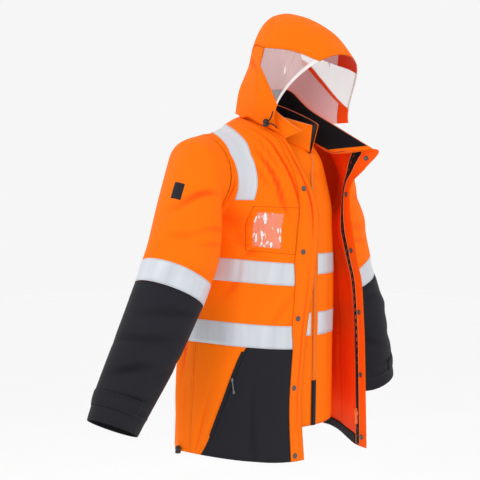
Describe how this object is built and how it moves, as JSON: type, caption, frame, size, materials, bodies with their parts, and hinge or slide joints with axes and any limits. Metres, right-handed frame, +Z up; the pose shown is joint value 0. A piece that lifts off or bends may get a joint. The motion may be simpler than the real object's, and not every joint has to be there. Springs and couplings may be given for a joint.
{
  "type": "hi-vis work jacket",
  "caption": "Hooded orange and navy work parka with silver reflective tape, worn open over a zip-in vest, hollow and held out as if worn.",
  "frame": {"origin": "middle of the neck opening at the height of the neck seam, where the wearer holds the jacket", "axes": "+Z up towards the hood, -Y the way the wearer faces, -X to the wearer's right"},
  "size_m": [1.0466, 0.4376, 1.0446],
  "materials": {
    "orange_cloth": "coated polyester shell cloth, fluorescent orange",
    "navy_cloth": "coated polyester shell cloth, navy",
    "reflective_tape": "glass bead reflective tape, silver grey",
    "clear_film": "clear flexible film",
    "navy_fleece": "napped fleece, dark navy",
    "zip_tape": "woven zip tape with moulded teeth, black",
    "black_plastic": "moulded nylon, black",
    "label_patch": "plain woven patch, black",
    "black_cord": "braided elastic cord, black",
    "stud_metal": "press stud, gunmetal",
    "orange_plastic": "coated zip slider and pull, orange"
  },
  "bodies": {
    "root": {"back": "orange_cloth", "collar": "orange_cloth", "collar_lining": "navy_fleece", "corner_socket": "stud_metal", "hem_cord_lock": "black_plastic", "hood_cord_lock": "black_plastic", "hood_cord_lower": "black_cord", "hood_cord_upper": "black_cord", "hood_crown": "orange_cloth", "hood_left_side": "orange_cloth", "hood_left_window": "clear_film", "hood_right_side": "orange_cloth", "hood_right_window": "clear_film", "id_pocket": "orange_cloth", "id_window": "clear_film", "left_brace": "reflective_tape", "left_cuff_tab": "navy_cloth", "left_flap": "orange_cloth", "left_front": "orange_cloth", "left_lining": "orange_cloth", "left_lower_sleeve": "navy_cloth", "left_pocket_panel": "navy_cloth", "left_puller": "orange_plastic", "left_sleeve_band": "reflective_tape", "left_slider": "orange_plastic", "left_upper_sleeve": "orange_cloth", "left_zip_tape": "zip_tape", "lower_band": "reflective_tape", "pocket_puller": "black_plastic", "right_brace": "reflective_tape", "right_cuff_tab": "navy_cloth", "right_front": "orange_cloth", "right_lower_sleeve": "navy_cloth", "right_pocket_panel": "navy_cloth", "right_sleeve_band": "reflective_tape", "right_upper_sleeve": "orange_cloth", "right_zip_tape": "zip_tape", "sleeve_label": "label_patch", "socket_1": "stud_metal", "socket_2": "stud_metal", "socket_3": "stud_metal", "socket_4": "stud_metal", "socket_5": "stud_metal", "storm_flap": "orange_cloth", "stud_1": "stud_metal", "stud_2": "stud_metal", "stud_3": "stud_metal", "stud_4": "stud_metal", "stud_5": "stud_metal", "upper_band": "reflective_tape", "vest_back": "orange_cloth", "vest_collar": "orange_cloth", "vest_collar_lining": "navy_fleece", "vest_left_front": "orange_cloth", "vest_left_lower_band": "reflective_tape", "vest_left_upper_band": "reflective_tape", "vest_right_front": "orange_cloth", "vest_right_lower_band": "reflective_tape", "vest_right_upper_band": "reflective_tape", "vest_zip": "zip_tape"}
  },
  "joints": []
}
